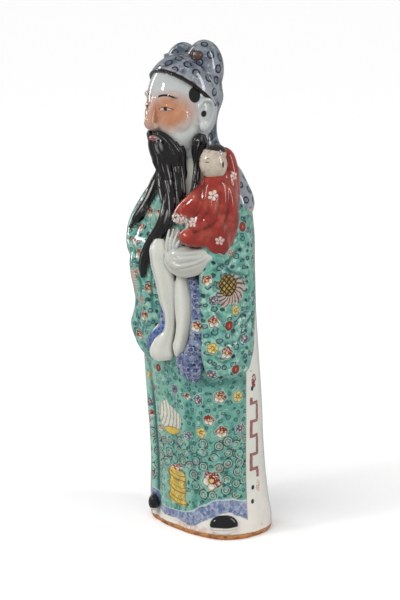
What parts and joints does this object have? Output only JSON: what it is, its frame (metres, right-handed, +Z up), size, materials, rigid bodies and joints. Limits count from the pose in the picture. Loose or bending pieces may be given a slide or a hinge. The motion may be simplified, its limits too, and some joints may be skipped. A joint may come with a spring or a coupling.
{
  "type": "porcelain court official figure",
  "caption": "Standing bearded court official in a long painted robe and soft cap, holding a small child on the left arm; moulded glazed porcelain statue on a flat foot.",
  "frame": {"origin": "middle of the flat foot, on the shelf it stands on", "axes": "+Z up, -Y the way the figure faces, +X the figure's left side, where the child sits"},
  "size_m": [0.1303, 0.1175, 0.45],
  "materials": {
    "glazed_porcelain": "glossy clear glaze over turquoise, red, blue, yellow and black enamels on a white body"
  },
  "bodies": {
    "root": {"lu_xing_figure": "glazed_porcelain"}
  },
  "joints": []
}
